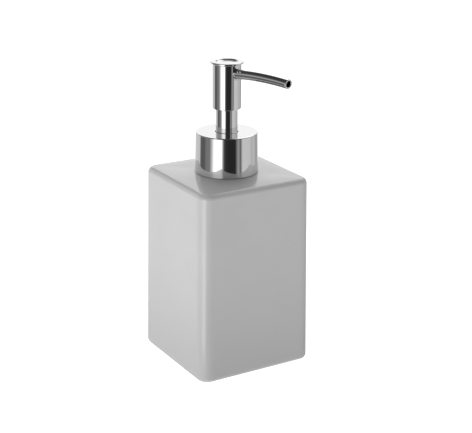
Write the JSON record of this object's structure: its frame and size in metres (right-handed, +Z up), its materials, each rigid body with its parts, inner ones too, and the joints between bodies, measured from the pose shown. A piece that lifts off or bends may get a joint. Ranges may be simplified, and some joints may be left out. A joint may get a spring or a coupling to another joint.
{
  "type": "soap dispenser",
  "caption": "Counter-top soap dispenser: square glazed ceramic bottle with a chrome lift pump, screw collar and swivelling spout.",
  "frame": {"origin": "middle of the bottle's flat base, on the counter", "axes": "+Z up along the pump's axis; the bottle's four faces look along +X, -X, +Y and -Y; the spout points about 70 degrees from +X towards -Y"},
  "size_m": [0.0662, 0.0752, 0.1594],
  "materials": {
    "glazed_ceramic": "clear-glazed pale grey ceramic",
    "chrome": "polished",
    "white_plastic": "moulded, semi-matt",
    "milky_plastic": "milky polyethylene",
    "rubber": "soft black",
    "spring_steel": "bright drawn wire and polished balls"
  },
  "bodies": {
    "bottle": {"ceramic_bottle": "glazed_ceramic", "neck_washer": "rubber", "neck_insert": "white_plastic"},
    "pump": {"closure_gasket": "rubber", "pump_cylinder": "white_plastic", "dip_tube": "milky_plastic", "stem_guide": "white_plastic"},
    "collar": {"collar_shell": "chrome", "closure_ring": "white_plastic"},
    "inlet_valve": {"inlet_ball": "spring_steel"},
    "plunger": {"piston": "milky_plastic", "return_spring": "spring_steel"},
    "head": {"piston_seat": "white_plastic", "piston_rod": "white_plastic", "stem_sleeve": "chrome", "head_core": "white_plastic", "head_shell": "chrome", "top_cap": "chrome", "spout_tube": "chrome", "spout_seal": "rubber"},
    "outlet_valve": {"outlet_ball": "spring_steel"}
  },
  "joints": [
    {"name": "pump_lift", "type": "slide", "parent": "bottle", "child": "pump", "axis": [0, 0, 1], "range_m": [0, 0.112]},
    {"name": "collar_turn", "type": "hinge", "parent": "pump", "child": "collar", "pos_m": [0, 0, 0.113], "axis": [0, 0, 1], "range_deg": [0, 540]},
    {"name": "inlet_ball_lift", "type": "slide", "parent": "pump", "child": "inlet_valve", "axis": [0, 0, 1], "range_m": [0, 0.0012]},
    {"name": "head_press", "type": "slide", "parent": "pump", "child": "plunger", "axis": [0, 0, -1], "range_m": [0, 0.011], "stiffness_N_per_m": 300, "springref_m": -0.02, "deforming": ["return_spring"]},
    {"name": "spout_swivel", "type": "hinge", "parent": "plunger", "child": "head", "pos_m": [0, 0, 0.1351], "axis": [0, 0, 1], "continuous": true},
    {"name": "outlet_ball_lift", "type": "slide", "parent": "head", "child": "outlet_valve", "axis": [0, 0, 1], "range_m": [0, 0.0012]}
  ]
}
